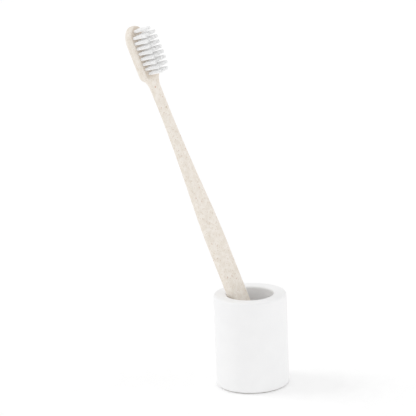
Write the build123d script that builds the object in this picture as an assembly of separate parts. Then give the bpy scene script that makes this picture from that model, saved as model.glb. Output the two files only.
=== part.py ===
from build123d import *
import math
import os

# A toothbrush standing loose in its ceramic holder. Millimetres and degrees.
# Origin: middle of the foot pad's underside. +Z is up, +X is the side the foot of the brush leans to.

# Holder
HOLDER_R = 19.0
HOLDER_TOP_Z = 49.0
PAD_THICKNESS = 0.6
PAD_R = 17.8
BORE_R = 12.2
BORE_FLOOR_Z = 10.0
BORE_FLOOR_CORNER_R = 2.0
RIM_INNER_R = 1.0
RIM_OUTER_R = 1.2
BASE_EDGE_R = 0.9

# Where the brush stands: its centreline crosses the resting surface at (AXIS_FOOT_X, 0, 0)
LEAN = 18.76          # centreline from vertical, towards -X
SPIN = 38.5           # bristles turned from the plane of the lean, towards -Y
AXIS_FOOT_X = 10.05

# Stations along the centreline, measured from where it crosses the resting surface
TIP_S = 201.9
LENGTH = 190.5
GRIP_END_S = 80.0     # the grip keeps its full section from the foot up to here
TAPER = ((110.0, 0.42), (135.0, 0.84))   # station, and how much of the narrowing it has reached
NECK_START_S = 158.0  # the neck keeps its thinnest section from here up to the head

# Cross-sections: width across the bristle face, thickness along the bristles
GRIP_WIDTH = 11.2
GRIP_FACE_N = 2.5     # front and back of the grip, along the bristles from the centreline
GRIP_BACK_N = -2.95
NECK_WIDTH = 5.2
NECK_THICKNESS = 4.5
HEAD_WIDTH = 13.0
HEAD_CROWN = 9.0      # length of the elliptical end beyond the head's straight sides
HEAD_FACE_N = NECK_THICKNESS / 2   # bristle face, from the centreline: in line with the neck
HEAD_BACK_N = -2.5    # back of the head, from the centreline
SHOULDER_S = 176.6    # lower end of the head's straight sides
SHOULDER_R = 3.4
SHOULDER_BLEND_R = 7.0
BACK_EDGE_R = 1.8
FACE_EDGE_R = 1.3

# Tufts
ROW_COUNT = 9
ROW_PITCH = 2.8
FIRST_ROW_FROM_TIP = 2.8
INNER_W = 1.3
OUTER_W = 3.9
CLOSING_OUTER_W = 3.5   # outer tufts of the second and the last but one row
FIRST_ROW_W = 1.0       # the two tufts of the first row
LAST_ROW_W = 2.3        # the outer two of the last row's three tufts
TUFT_ROOT_R = 0.8
TUFT_TIP_R = 0.95
TUFT_FREE_LENGTH = 8.6
TUFT_TRIM_R = 0.15
HOLE_R = 0.85
HOLE_DEPTH = 3.2
HOLE_FLOOR_GAP = 0.1

# Cutting shapes run past the surfaces they cut by this much
OVERRUN = 5.0

# An edge whose heading is this close to square with the centreline is a joint between two stretches
SQUARE = 0.999
EDGE_TOLERANCE = 0.1

# Anchor wires that staple the folded tufts into their holes
ANCHOR_THICKNESS = 0.3
ANCHOR_LENGTH = 1.9
ANCHOR_HEIGHT = 1.6
ANCHOR_ABOVE_FLOOR = 0.5

# The parent frame of the brush: X along the bristles, Y across the head, Z up the centreline
lean = math.radians(LEAN)
spin = math.radians(SPIN)
centreline = Vector(-math.sin(lean), 0, math.cos(lean))
bristle_direction = Vector(
    math.cos(spin) * math.cos(lean),
    -math.sin(spin),
    math.cos(spin) * math.sin(lean),
)
brush_frame = Plane(origin=(AXIS_FOOT_X, 0, 0), x_dir=bristle_direction, z_dir=centreline)

FOOT_S = TIP_S - LENGTH
HOLE_FLOOR_N = HEAD_FACE_N - HOLE_DEPTH


def save(solid, name):
    solid.label = name
    export_step(solid, f"parts/{name}.step")


def on_brush(solid):
    return brush_frame.location * solid


def make_holder():
    bottom_z = PAD_THICKNESS
    wall = make_face(
        Polyline(
            (0, bottom_z),
            (HOLDER_R, bottom_z),
            (HOLDER_R, HOLDER_TOP_Z),
            (BORE_R, HOLDER_TOP_Z),
            (BORE_R, BORE_FLOOR_Z),
            (0, BORE_FLOOR_Z),
            close=True,
        )
    )
    corner_radii = {
        (HOLDER_R, bottom_z): BASE_EDGE_R,
        (HOLDER_R, HOLDER_TOP_Z): RIM_OUTER_R,
        (BORE_R, HOLDER_TOP_Z): RIM_INNER_R,
        (BORE_R, BORE_FLOOR_Z): BORE_FLOOR_CORNER_R,
    }
    for (r, z), radius in corner_radii.items():
        corner = wall.vertices().sort_by_distance((r, z, 0))[0]
        wall = fillet(corner, radius)
    return revolve(Plane.XZ * wall, Axis.Z)


def make_foot_pad():
    return Pos(0, 0, PAD_THICKNESS / 2) * Cylinder(PAD_R, PAD_THICKNESS)


def shoulder_points():
    """The two arcs from the head's straight side to the neck: start, tangent point, end."""
    side = HEAD_WIDTH / 2
    neck = NECK_WIDTH / 2
    convex_centre = Vector(side - SHOULDER_R, SHOULDER_S)
    centre_distance = SHOULDER_R + SHOULDER_BLEND_R
    across = neck + SHOULDER_BLEND_R - convex_centre.X
    down = math.sqrt(centre_distance**2 - across**2)
    concave_centre = Vector(neck + SHOULDER_BLEND_R, SHOULDER_S - down)
    meeting = convex_centre + (concave_centre - convex_centre) * (SHOULDER_R / centre_distance)
    return (side, SHOULDER_S), (meeting.X, meeting.Y), (neck, concave_centre.Y)


def front_outline():
    """The handle seen along the bristles: X across, Y up the centreline."""
    grip = GRIP_WIDTH / 2
    neck = NECK_WIDTH / 2
    head = HEAD_WIDTH / 2
    foot_side = (grip, FOOT_S + grip)
    shoulder_top, shoulder_meeting, shoulder_end = shoulder_points()
    crown_centre = (0, TIP_S - HEAD_CROWN)
    half = [
        TangentArc((0, FOOT_S), foot_side, tangent=(1, 0)),
        Line(foot_side, (grip, GRIP_END_S)),
        Spline(
            (grip, GRIP_END_S),
            *[(grip + (neck - grip) * narrowed, station) for station, narrowed in TAPER],
            (neck, NECK_START_S),
            tangents=[(0, 1), (0, 1)],
        ),
        Line((neck, NECK_START_S), shoulder_end),
        TangentArc(shoulder_end, shoulder_meeting, tangent=(0, 1)),
        TangentArc(shoulder_top, shoulder_meeting, tangent=(0, -1)),
        Line(shoulder_top, (head, TIP_S - HEAD_CROWN)),
        EllipticalCenterArc(crown_centre, head, HEAD_CROWN, start_angle=0, arc_size=90),
    ]
    other_half = [mirror(edge, Plane.YZ) for edge in half]
    return make_face(half + other_half)


def side_outline():
    """The handle seen across the head: X along the bristles, Y up the centreline."""
    neck = NECK_THICKNESS / 2
    low = FOOT_S - OVERRUN
    high = TIP_S + OVERRUN
    face_side = [
        Line((GRIP_FACE_N, low), (GRIP_FACE_N, GRIP_END_S)),
        Spline((GRIP_FACE_N, GRIP_END_S), (neck, NECK_START_S), tangents=[(0, 1), (0, 1)]),
        Line((neck, NECK_START_S), (HEAD_FACE_N, high)),
    ]
    back_side = [
        Line((GRIP_BACK_N, low), (GRIP_BACK_N, GRIP_END_S)),
        Spline((GRIP_BACK_N, GRIP_END_S), (-neck, NECK_START_S), tangents=[(0, 1), (0, 1)]),
        Spline((-neck, NECK_START_S), (HEAD_BACK_N, SHOULDER_S), tangents=[(0, 1), (0, 1)]),
        Line((HEAD_BACK_N, SHOULDER_S), (HEAD_BACK_N, high)),
    ]
    ends = [
        Line((GRIP_BACK_N, low), (GRIP_FACE_N, low)),
        Line((HEAD_BACK_N, high), (HEAD_FACE_N, high)),
    ]
    return make_face(face_side + back_side + ends)


def through(outline, plane):
    """The outline cut right through the handle, square to the plane it is drawn on."""
    reach = HEAD_WIDTH
    return extrude(plane.offset(-reach) * outline, 2 * reach)


def make_handle_blank():
    blank = through(front_outline(), Plane.YZ) & through(side_outline(), Plane.XZ)
    back_rim = rim_edges(blank).filter_by(lambda edge: edge.center().X < 0)
    blank = fillet(back_rim, BACK_EDGE_R)
    neck_side = NECK_THICKNESS / 2 - EDGE_TOLERANCE
    face_rim = rim_edges(blank).filter_by(lambda edge: edge.center().X > neck_side)
    return fillet(face_rim, FACE_EDGE_R)  # runs on round the head, whose rim is in line with the neck's


def rim_edges(blank):
    """The edges that run along the handle, without the joints between two stretches of one side."""
    def runs_along(edge):
        heading = edge % 0.5
        return max(abs(heading.X), abs(heading.Y)) < SQUARE
    return blank.edges().filter_by(runs_along)


def tuft_places():
    """Each tuft's name with its place across the head and up the centreline."""
    inner_and_outer = {
        "left_outer": -OUTER_W,
        "left_inner": -INNER_W,
        "right_inner": INNER_W,
        "right_outer": OUTER_W,
    }
    places = []
    for row in range(1, ROW_COUNT + 1):
        s = TIP_S - FIRST_ROW_FROM_TIP - (row - 1) * ROW_PITCH
        if row == 1:
            across = {"left": -FIRST_ROW_W, "right": FIRST_ROW_W}
        elif row == ROW_COUNT:
            across = {"left": -LAST_ROW_W, "middle": 0.0, "right": LAST_ROW_W}
        elif row in (2, ROW_COUNT - 1):
            across = dict(inner_and_outer, left_outer=-CLOSING_OUTER_W, right_outer=CLOSING_OUTER_W)
        else:
            across = inner_and_outer
        for side, w in across.items():
            places.append((f"tuft_row{row}_{side}", w, s))
    return places


def make_tuft_hole():
    """A blind hole, along X, with its floor at X = 0."""
    hole = Cylinder(HOLE_R, HOLE_DEPTH + OVERRUN, align=(Align.CENTER, Align.CENTER, Align.MIN))
    return Rot(0, 90, 0) * hole


def make_anchor():
    """A flat wire pressed across the hole, along X, above the hole's floor at X = 0."""
    middle = ANCHOR_ABOVE_FLOOR + ANCHOR_HEIGHT / 2
    return Pos(middle, 0, 0) * Box(ANCHOR_HEIGHT, ANCHOR_THICKNESS, ANCHOR_LENGTH)


def make_tuft():
    """A bundle of filaments folded under its anchor, along X, from a hole with its floor at X = 0."""
    face = HOLE_DEPTH
    tip = face + TUFT_FREE_LENGTH
    half_section = make_face(
        Polyline(
            (0, HOLE_FLOOR_GAP),
            (TUFT_ROOT_R, HOLE_FLOOR_GAP),
            (TUFT_ROOT_R, face),
            (TUFT_TIP_R, tip),
            (0, tip),
            close=True,
        )
    )
    trimmed_rim = half_section.vertices().sort_by_distance((TUFT_TIP_R, tip, 0))[0]
    half_section = fillet(trimmed_rim, TUFT_TRIM_R)
    bundle = revolve(Plane.XZ * half_section, Axis.Z)
    return Rot(0, 90, 0) * bundle - make_anchor()


def make_handle(places):
    handle = make_handle_blank()
    pocket = make_tuft_hole() + make_anchor()
    pockets = [Pos(HOLE_FLOOR_N, w, s) * pocket for _, w, s in places]
    return handle - pockets


def main():
    os.makedirs("parts", exist_ok=True)
    save(make_holder(), "holder")
    save(make_foot_pad(), "holder_foot_pad")
    places = tuft_places()
    save(on_brush(make_handle(places)), "handle")
    tuft = make_tuft()
    anchor = make_anchor()
    anchors = []
    for name, w, s in places:
        place = Pos(HOLE_FLOOR_N, w, s)
        save(on_brush(place * tuft), name)
        anchors.append(on_brush(place * anchor))
    save(Compound(anchors), "bristle_anchors")


main()
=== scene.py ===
"""A toothbrush with a speckled wheat-straw handle, standing loose in a white ceramic holder. Metres."""

import math
import random

import bpy
from mathutils import Matrix, Vector


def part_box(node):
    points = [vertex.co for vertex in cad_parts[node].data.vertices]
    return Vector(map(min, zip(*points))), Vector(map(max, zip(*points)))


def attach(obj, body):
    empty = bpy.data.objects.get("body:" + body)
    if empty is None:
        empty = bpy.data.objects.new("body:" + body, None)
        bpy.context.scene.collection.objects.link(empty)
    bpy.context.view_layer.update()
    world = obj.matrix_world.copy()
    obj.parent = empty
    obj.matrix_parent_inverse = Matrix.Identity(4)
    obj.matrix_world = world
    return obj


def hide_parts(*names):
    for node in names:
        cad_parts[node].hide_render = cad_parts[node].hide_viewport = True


MM = 0.001
SEED = 7
WHITE = (1.0, 1.0, 1.0, 1.0)

# The camera: where it stands, what it looks at and how far it is tipped sideways, in metres and degrees
CAMERA_DISTANCE = 1.2          # from the middle of the holder's underside
CAMERA_ELEVATION = 19.24
CAMERA_AIM = (-0.0199, 0.0, 0.0954)
CAMERA_ROLL = -2.35
CAMERA_LENS = 197.5
SENSOR_WIDTH = 36.0

# The brush leans to -X, and its bristles are turned towards -Y
LEAN = math.radians(18.76)
SPIN = math.radians(38.5)
CENTRELINE = Vector((-math.sin(LEAN), 0.0, math.cos(LEAN)))
BRISTLE_DIRECTION = Vector((
    math.cos(SPIN) * math.cos(LEAN),
    -math.sin(SPIN),
    math.cos(SPIN) * math.sin(LEAN),
))
ACROSS = CENTRELINE.cross(BRISTLE_DIRECTION)
AXIS_FOOT = Vector((10.05 * MM, 0.0, 0.0))     # where the brush's centreline meets the floor

# The two largest bits of husk, on the bristle side of the neck
HUSKS = (
    # place up the centreline, across it and along the bristles; radius; colour
    ((169.2 * MM, -1.9 * MM, 2.2 * MM), 0.42 * MM, (0.55, 0.27, 0.17)),
    ((157.4 * MM, -0.1 * MM, 2.3 * MM), 0.45 * MM, (0.50, 0.38, 0.22)),
)
HUSK_STRENGTH = 0.8

# The ground straw in the handle: tan, pale and brown fibres, then shorter brown and russet bits
FIBRES = (
    # size, share of cells, how far it is drawn out, direction in degrees, colour, strength
    (1.0 * MM, 0.42, 3.2, (0, -19, 0), (0.66, 0.55, 0.43), 0.48),
    (0.9 * MM, 0.38, 2.6, (35, 20, 0), (0.91, 0.88, 0.83), 0.60),
    (1.1 * MM, 0.30, 3.0, (70, -50, 0), (0.60, 0.47, 0.35), 0.48),
    (0.9 * MM, 0.24, 1.9, (20, 40, 30), (0.50, 0.33, 0.22), 0.42),
    (1.4 * MM, 0.14, 1.7, (0, -30, 60), (0.52, 0.26, 0.17), 0.42),
)

# A tuft: filaments packed in rings, from the floor of their hole to the trimmed tips
TUFT_LENGTH = 11.7 * MM
SOCKET_LENGTH = 3.1 * MM       # the part of that inside the head
FILAMENT_R = 0.1 * MM
RING_STEP = 0.232 * MM
RING_COUNT = 3
FIRST_RING = 6                 # filaments in the first ring; each further ring has as many more
SPREAD_AT_TIP = 1.14
SPREAD_CURVE = 1.3             # above 1, the filaments spread more and more towards their tips
ROOT_JITTER = 0.012 * MM
TIP_JITTER = 0.05 * MM
TRIM_SCATTER = 0.12 * MM
FILAMENT_SIDES = 6
ANCHOR_CLEARANCE = 0.27 * MM   # from the tuft's middle to a filament beside the anchor wire
ANCHOR_TOP = 2.1 * MM          # how far up the tuft the anchor reaches
BEND_STATIONS = (0.0, 0.17, 0.25, 0.45, 0.7, 0.88, 1.0)
TIP_ROUNDING = ((0.55, 0.85), (0.9, 0.45))   # along and across, in filament radii

# The part of the head's face that the tufts stand in, where painted shade makes the straw browner and darker,
# for the shade the tufts cast between them
FACE_LEVEL = 2.25 * MM         # along the bristles, from the centreline
FACE_LOW = 174.5 * MM          # up the centreline
FACE_HALF_WIDTH = 5.1 * MM
FACE_FADE = 0.25 * MM
FACE_LOW_FADE = 1.0 * MM
FACE_PAINTED_SHADE = (0.50, 0.385, 0.28)
FACE_PAINTED_SHADE_STRENGTH = 0.38

# Light: a pale sky that is a little dimmer overhead, soft light from the left and weaker from the right
SKY_AT_HORIZON = 0.885
SKY_OVERHEAD = 0.825
LIGHTS = {
    # where it comes from, how wide it looks in degrees, strength
    "key": ((-1.35, 0.30, 1.55), 26.0, 0.43),
    "fill": ((1.50, -0.25, 0.90), 40.0, 0.16),
}
FLOOR_HALF = 6.0
FLOOR_GLOW = 0.10
NYLON_PAINTED_LIGHT = 0.085             # painted light: a faint glow that stands in for light the clear filaments pass on to each other

# Patterns: noise lies mostly between these two values
NOISE_LOW = 0.3
NOISE_HIGH = 0.7
SPOT_FULL = 1.2                # a ragged spot's edge, in radii, once noise of about half a radius is added
SPOT_GONE = 1.5
FLECK_FULL = 0.55              # how far out a fleck keeps its full strength, as a share of its edge
LOT_FADE = 0.02                # cells whose random value is this close to the share hold a fainter fleck

# Sockets of a Mix node that mixes colours
MIX_AMOUNT = 0
MIX_UNDER = 6
MIX_OVER = 7
MIX_RESULT = 2


def add_camera():
    elevation = math.radians(CAMERA_ELEVATION)
    place = Vector((0.0, -math.cos(elevation), math.sin(elevation))) * CAMERA_DISTANCE
    looking = (Vector(CAMERA_AIM) - place).to_track_quat("-Z", "Y").to_matrix().to_4x4()
    roll = Matrix.Rotation(math.radians(CAMERA_ROLL), 4, "Z")
    camera = bpy.data.objects.new("camera", bpy.data.cameras.new("camera"))
    camera.matrix_world = Matrix.Translation(place) @ looking @ roll
    camera.data.lens = CAMERA_LENS
    camera.data.sensor_width = SENSOR_WIDTH
    bpy.context.scene.collection.objects.link(camera)
    bpy.context.scene.camera = camera


def pale_sky():
    sky = bpy.data.worlds.new("sky")
    sky.use_nodes = True
    tree = sky.node_tree
    direction = tree.nodes.new("ShaderNodeTexCoord").outputs["Generated"]
    split = tree.nodes.new("ShaderNodeSeparateXYZ")
    tree.links.new(direction, split.inputs["Vector"])
    strength = tree.nodes.new("ShaderNodeMapRange")
    strength.inputs["To Min"].default_value = SKY_AT_HORIZON
    strength.inputs["To Max"].default_value = SKY_OVERHEAD
    tree.links.new(split.outputs["Z"], strength.inputs["Value"])
    background = tree.nodes["Background"]
    background.inputs["Color"].default_value = WHITE
    tree.links.new(strength.outputs["Result"], background.inputs["Strength"])
    return sky


def add_light():
    bpy.context.scene.world = pale_sky()
    bpy.context.scene.view_settings.view_transform = "Standard"
    for name, (origin, width, strength) in LIGHTS.items():
        light = bpy.data.lights.new(name, "SUN")
        light.angle = math.radians(width)
        light.energy = strength
        lamp = bpy.data.objects.new(name, light)
        shining = (-Vector(origin)).to_track_quat("-Z", "Y")
        lamp.matrix_world = Matrix.Translation(origin) @ shining.to_matrix().to_4x4()
        bpy.context.scene.collection.objects.link(lamp)


class Finish:
    """A node material whose patterns are laid out in the piece's own metres."""

    def __init__(self, name):
        self.material = bpy.data.materials.new(name)
        self.material.use_nodes = True
        self.tree = self.material.node_tree
        self.shader = self.tree.nodes["Principled BSDF"]
        self.place = self.tree.nodes.new("ShaderNodeTexCoord").outputs["Object"]

    def link(self, source, target):
        self.tree.links.new(source, target)

    def turned(self, degrees, stretch=(1.0, 1.0, 1.0)):
        """The piece's coordinates turned by three angles and then stretched."""
        turn = self.tree.nodes.new("ShaderNodeMapping")
        turn.vector_type = "TEXTURE"
        turn.inputs["Rotation"].default_value = [math.radians(a) for a in degrees]
        turn.inputs["Scale"].default_value = stretch
        self.link(self.place, turn.inputs["Vector"])
        return turn.outputs["Vector"]

    def noise(self, feature, detail=2.0):
        """Soft noise whose features are about that size, in metres."""
        node = self.tree.nodes.new("ShaderNodeTexNoise")
        node.inputs["Scale"].default_value = 1.0 / feature
        node.inputs["Detail"].default_value = detail
        self.link(self.place, node.inputs["Vector"])
        return node.outputs["Fac"]

    def cells(self, size, place):
        """Scattered points that far apart: distance to the nearest, and its random value."""
        node = self.tree.nodes.new("ShaderNodeTexVoronoi")
        node.inputs["Scale"].default_value = 1.0 / size
        self.link(place, node.inputs["Vector"])
        split = self.tree.nodes.new("ShaderNodeSeparateColor")
        self.link(node.outputs["Color"], split.inputs["Color"])
        return node.outputs["Distance"], split.outputs["Red"]

    def ranged(self, value, low, high, at_low=0.0, at_high=1.0):
        """value, mapped smoothly from low..high to at_low..at_high and held beyond them."""
        node = self.tree.nodes.new("ShaderNodeMapRange")
        node.interpolation_type = "SMOOTHSTEP"
        node.inputs["From Min"].default_value = low
        node.inputs["From Max"].default_value = high
        node.inputs["To Min"].default_value = at_low
        node.inputs["To Max"].default_value = at_high
        self.link(value, node.inputs["Value"])
        return node.outputs["Result"]

    def near(self, point, radius):
        """1 within that radius of a point, with a ragged edge, and 0 outside."""
        warp = self.tree.nodes.new("ShaderNodeTexNoise")
        warp.inputs["Scale"].default_value = 1.0 / radius
        self.link(self.place, warp.inputs["Vector"])
        away = self.tree.nodes.new("ShaderNodeVectorMath")
        away.operation = "DISTANCE"
        away.inputs[1].default_value = point
        self.link(self.place, away.inputs[0])
        ragged = self.tree.nodes.new("ShaderNodeMath")
        ragged.operation = "MULTIPLY_ADD"
        ragged.inputs[1].default_value = radius
        self.link(warp.outputs["Fac"], ragged.inputs[0])
        self.link(away.outputs["Value"], ragged.inputs[2])
        return self.ranged(ragged.outputs["Value"], SPOT_GONE * radius, SPOT_FULL * radius)

    def along(self, direction):
        """How far a point lies along that direction from the foot of the brush's centreline."""
        from_foot = self.tree.nodes.new("ShaderNodeVectorMath")
        from_foot.operation = "SUBTRACT"
        from_foot.inputs[1].default_value = AXIS_FOOT
        self.link(self.place, from_foot.inputs[0])
        dot = self.tree.nodes.new("ShaderNodeVectorMath")
        dot.operation = "DOT_PRODUCT"
        dot.inputs[1].default_value = direction
        self.link(from_foot.outputs["Vector"], dot.inputs[0])
        return dot.outputs["Value"]

    def on_bristle_face(self):
        """1 on the part of the head that the tufts stand in, 0 elsewhere."""
        across = self.along(ACROSS)
        level = self.ranged(self.along(BRISTLE_DIRECTION), FACE_LEVEL - FACE_FADE, FACE_LEVEL - FACE_FADE / 4)
        high = self.ranged(self.along(CENTRELINE), FACE_LOW - FACE_LOW_FADE, FACE_LOW + FACE_LOW_FADE)
        left = self.ranged(across, -FACE_HALF_WIDTH - FACE_FADE, -FACE_HALF_WIDTH + FACE_FADE)
        right = self.ranged(across, FACE_HALF_WIDTH + FACE_FADE, FACE_HALF_WIDTH - FACE_FADE)
        return self.times(self.times(level, high), self.times(left, right))

    def times(self, a, b):
        """The product of a pattern and either another pattern or a plain number."""
        node = self.tree.nodes.new("ShaderNodeMath")
        node.operation = "MULTIPLY"
        self.link(a, node.inputs[0])
        if isinstance(b, float):
            node.inputs[1].default_value = b
        else:
            self.link(b, node.inputs[1])
        return node.outputs["Value"]

    def mixed(self, amount, under, over):
        """over laid on under by amount; each is a colour or the output of another mix."""
        node = self.tree.nodes.new("ShaderNodeMix")
        node.data_type = "RGBA"
        self.link(amount, node.inputs[MIX_AMOUNT])
        for socket, colour in ((node.inputs[MIX_UNDER], under), (node.inputs[MIX_OVER], over)):
            if isinstance(colour, tuple):
                socket.default_value = (*colour, 1.0)
            else:
                self.link(colour, socket)
        return node.outputs[MIX_RESULT]

    def clouded(self, pattern, under, over):
        """Two colours mixed by a noise pattern."""
        return self.mixed(self.ranged(pattern, NOISE_LOW, NOISE_HIGH), under, over)

    def coloured(self, colour):
        self.link(colour, self.shader.inputs["Base Color"])

    def rough(self, pattern, smoothest, dullest):
        """Roughness that follows a noise pattern."""
        roughness = self.ranged(pattern, NOISE_LOW, NOISE_HIGH, smoothest, dullest)
        self.link(roughness, self.shader.inputs["Roughness"])

    def glowing(self, strength):
        self.shader.inputs["Emission Color"].default_value = WHITE
        self.shader.inputs["Emission Strength"].default_value = strength

    def raised(self, *layers):
        """Bumps: each layer is a height pattern and how high it stands, in metres."""
        normal = None
        for height, distance in layers:
            node = self.tree.nodes.new("ShaderNodeBump")
            node.inputs["Distance"].default_value = distance
            self.link(height, node.inputs["Height"])
            if normal:
                self.link(normal, node.inputs["Normal"])
            normal = node.outputs["Normal"]
        self.link(normal, self.shader.inputs["Normal"])

    def flecks(self, size, share, length, degrees, edge=0.3):
        """Scattered flecks drawn out along one direction: 1 inside, 0 beyond the edge, which is in cells."""
        place = self.turned(degrees, (1.0, 1.0, length))
        distance, lot = self.cells(size, place)
        body = self.ranged(distance, edge, FLECK_FULL * edge)
        chosen = self.ranged(lot, share, share - LOT_FADE)
        return self.times(body, chosen)


def wheat_straw():
    """Cream bioplastic with ground straw in it: pale mottling, tan fibres, a few russet bits of husk."""
    finish = Finish("wheat_straw")
    cream, pale_cream = (0.835, 0.77, 0.685), (0.90, 0.845, 0.775)
    ground_straw = (0.70, 0.61, 0.51)
    mottling = finish.noise(2.6 * MM, detail=3.0)
    grain = finish.noise(0.5 * MM)
    colour = finish.mixed(finish.ranged(mottling, low=0.35, high=0.65), cream, pale_cream)
    colour = finish.mixed(finish.ranged(grain, low=0.50, high=0.72, at_high=0.4), colour, ground_straw)
    for size, share, length, degrees, tint, strength in FIBRES:
        fleck = finish.flecks(size, share, length, degrees)
        colour = finish.mixed(finish.times(fleck, strength), colour, tint)
    russet_bits = fleck         # the last kind, which also stands up a little
    # Painted shade: the face between the tufts is darkened towards a brown tone
    face = finish.times(finish.on_bristle_face(), FACE_PAINTED_SHADE_STRENGTH)
    colour = finish.mixed(face, colour, FACE_PAINTED_SHADE)
    for (up, across, along), radius, tint in HUSKS:
        point = AXIS_FOOT + CENTRELINE * up + ACROSS * across + BRISTLE_DIRECTION * along
        colour = finish.mixed(finish.times(finish.near(point, radius), HUSK_STRENGTH), colour, tint)
    finish.coloured(colour)
    finish.rough(mottling, smoothest=0.44, dullest=0.58)
    finish.raised((grain, 0.02 * MM), (mottling, 0.05 * MM), (russet_bits, 0.01 * MM))
    return finish.material


def white_ceramic():
    """Matt white glaze: faint clouding, a fine orange-peel surface and rare pin specks."""
    finish = Finish("white_ceramic")
    dull_white, glaze_white = (0.915, 0.915, 0.918), (0.93, 0.93, 0.932)
    speck_grey, speck_strength = (0.72, 0.71, 0.69), 0.4
    clouding = finish.noise(9.0 * MM)
    peel = finish.noise(0.9 * MM)
    speck = finish.flecks(size=3.0 * MM, share=0.10, length=1.0, degrees=(0, 0, 0), edge=0.05)
    colour = finish.clouded(clouding, dull_white, glaze_white)
    finish.coloured(finish.mixed(finish.times(speck, speck_strength), colour, speck_grey))
    finish.rough(clouding, smoothest=0.36, dullest=0.46)
    finish.raised((peel, 0.02 * MM), (clouding, 0.06 * MM))
    return finish.material


def nylon():
    """Clear-white filaments, a little milkier here and there."""
    finish = Finish("nylon_filament")
    clear, milky = (0.90, 0.90, 0.90), (0.96, 0.96, 0.96)
    strands = finish.noise(0.35 * MM, detail=1.0)
    clouding = finish.noise(3.0 * MM, detail=1.0)
    finish.coloured(finish.clouded(strands, clear, milky))
    finish.rough(clouding, smoothest=0.32, dullest=0.45)
    # Painted light: the filaments glow faintly white
    finish.glowing(NYLON_PAINTED_LIGHT)
    return finish.material


def rubber():
    """Soft grey non-slip rubber with a fine pebbled skin."""
    finish = Finish("pad_rubber")
    grey, pale_grey = (0.60, 0.59, 0.57), (0.68, 0.67, 0.65)
    pebbles = finish.noise(0.35 * MM)
    patches = finish.noise(4.0 * MM)
    finish.coloured(finish.clouded(patches, grey, pale_grey))
    finish.rough(pebbles, smoothest=0.7, dullest=0.9)
    finish.raised((pebbles, 0.03 * MM))
    return finish.material


def brass():
    """Drawn brass wire, slightly tarnished."""
    finish = Finish("anchor_brass")
    bright, tarnished = (0.78, 0.60, 0.31), (0.62, 0.44, 0.22)
    tarnish = finish.noise(0.6 * MM, detail=3.0)
    drawing = finish.noise(0.15 * MM)
    finish.coloured(finish.clouded(tarnish, bright, tarnished))
    finish.rough(drawing, smoothest=0.25, dullest=0.45)
    finish.shader.inputs["Metallic"].default_value = 1.0
    finish.raised((drawing, 0.01 * MM))
    return finish.material


def studio_floor():
    """Bright white paper, with the faintest tooth."""
    finish = Finish("studio_floor")
    paper, bright_paper = (0.93, 0.93, 0.93), (0.95, 0.95, 0.95)
    tooth = finish.noise(6.0 * MM)
    finish.coloured(finish.clouded(tooth, paper, bright_paper))
    finish.shader.inputs["Roughness"].default_value = 1.0
    finish.shader.inputs["Specular IOR Level"].default_value = 0.0
    finish.glowing(FLOOR_GLOW)
    return finish.material


def add_floor(material):
    corners = [(-FLOOR_HALF, -FLOOR_HALF, 0), (FLOOR_HALF, -FLOOR_HALF, 0),
               (FLOOR_HALF, FLOOR_HALF, 0), (-FLOOR_HALF, FLOOR_HALF, 0)]
    mesh = bpy.data.meshes.new("floor")
    mesh.from_pydata(corners, [], [(0, 1, 2, 3)])
    mesh.materials.append(material)
    floor = bpy.data.objects.new("floor", mesh)
    bpy.context.scene.collection.objects.link(floor)


def packed_places():
    """Where the filaments stand in a tuft: one in the middle, and rings of 6, 12 and 18 round it."""
    places = [(0.0, 0.0)]
    for ring in range(1, RING_COUNT + 1):
        for step in range(FIRST_RING * ring):
            angle = 2 * math.pi * step / (FIRST_RING * ring)
            places.append((ring * RING_STEP * math.cos(angle), ring * RING_STEP * math.sin(angle)))
    return places


def clear_of_anchor(across):
    """Moves a filament's root off the anchor wire that crosses the middle of the tuft."""
    if abs(across) >= ANCHOR_CLEARANCE:
        return across
    return math.copysign(ANCHOR_CLEARANCE, across)


def filament_stations(place, dice):
    """The filament's centre and radius at each station, along, across and up, from its root to its tip."""
    across, up = place
    jitter = [dice.uniform(-1, 1) for _ in range(4)]
    length = TUFT_LENGTH - dice.random() * TRIM_SCATTER
    root_across = clear_of_anchor(across) + jitter[0] * ROOT_JITTER
    face_across = across + jitter[0] * ROOT_JITTER
    root_up = up + jitter[1] * ROOT_JITTER
    tip_across = across * SPREAD_AT_TIP + jitter[2] * TIP_JITTER
    tip_up = up * SPREAD_AT_TIP + jitter[3] * TIP_JITTER
    stations = []
    for share in BEND_STATIONS:
        along = share * (length - FILAMENT_R)
        out = max(0.0, (along - SOCKET_LENGTH) / (TUFT_LENGTH - SOCKET_LENGTH)) ** SPREAD_CURVE
        start = root_across if along < ANCHOR_TOP else face_across
        stations.append((
            along,
            start + (tip_across - face_across) * out,
            root_up + (tip_up - root_up) * out,
            FILAMENT_R,
        ))
    along, across, up, _ = stations[-1]
    for rise, narrowing in TIP_ROUNDING:
        stations.append((along + rise * FILAMENT_R, across, up, narrowing * FILAMENT_R))
    return stations


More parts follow.
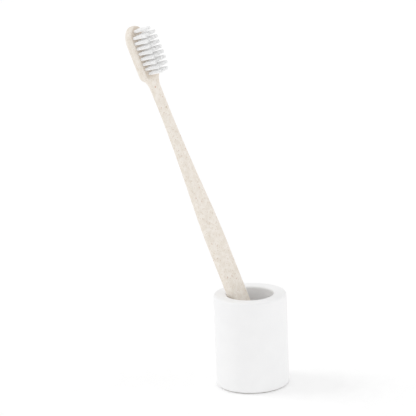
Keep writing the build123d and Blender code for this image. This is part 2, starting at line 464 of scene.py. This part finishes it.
def add_filament(points, faces, stations, origin):
    """Skins one filament: a ring of points at each station, closed flat at the root and at the tip."""
    first = len(points)
    for along, across, up, radius in stations:
        middle = origin + BRISTLE_DIRECTION * along + ACROSS * across + CENTRELINE * up
        for side in range(FILAMENT_SIDES):
            angle = 2 * math.pi * side / FILAMENT_SIDES
            points.append(middle + (ACROSS * math.cos(angle) + CENTRELINE * math.sin(angle)) * radius)
    for ring in range(len(stations) - 1):
        low = first + ring * FILAMENT_SIDES
        high = low + FILAMENT_SIDES
        for side in range(FILAMENT_SIDES):
            after = (side + 1) % FILAMENT_SIDES
            faces.append((low + side, low + after, high + after, high + side))
    faces.append([first + side for side in reversed(range(FILAMENT_SIDES))])
    last = first + (len(stations) - 1) * FILAMENT_SIDES
    faces.append([last + side for side in range(FILAMENT_SIDES)])


def add_tuft(node, material, dice):
    low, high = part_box(node)
    origin = (low + high) / 2 - BRISTLE_DIRECTION * (TUFT_LENGTH / 2)
    points = []
    faces = []
    for place in packed_places():
        add_filament(points, faces, filament_stations(place, dice), origin)
    mesh = bpy.data.meshes.new(f"{node}_filaments")
    mesh.from_pydata(points, [], faces)
    mesh.polygons.foreach_set("use_smooth", [True] * len(mesh.polygons))
    mesh.materials.append(material)
    tuft = bpy.data.objects.new(f"{node}_filaments", mesh)
    bpy.context.scene.collection.objects.link(tuft)
    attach(tuft, "brush")
    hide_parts(node)


def add_tufts(material):
    dice = random.Random(SEED)
    for node in sorted(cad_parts):
        if node.startswith("tuft_"):
            add_tuft(node, material, dice)


def finish_cad_node(node, material):
    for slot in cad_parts[node].material_slots:
        slot.material = material


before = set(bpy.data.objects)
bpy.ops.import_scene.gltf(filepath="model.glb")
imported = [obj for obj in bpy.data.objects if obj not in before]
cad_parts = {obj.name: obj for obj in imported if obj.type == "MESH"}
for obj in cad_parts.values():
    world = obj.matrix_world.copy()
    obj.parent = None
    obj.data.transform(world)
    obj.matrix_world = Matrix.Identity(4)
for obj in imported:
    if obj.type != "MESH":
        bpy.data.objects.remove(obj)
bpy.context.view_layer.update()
add_camera()
add_light()
add_floor(studio_floor())
finish_cad_node("handle", wheat_straw())
finish_cad_node("holder", white_ceramic())
finish_cad_node("holder_foot_pad", rubber())
finish_cad_node("bristle_anchors", brass())
add_tufts(nylon())
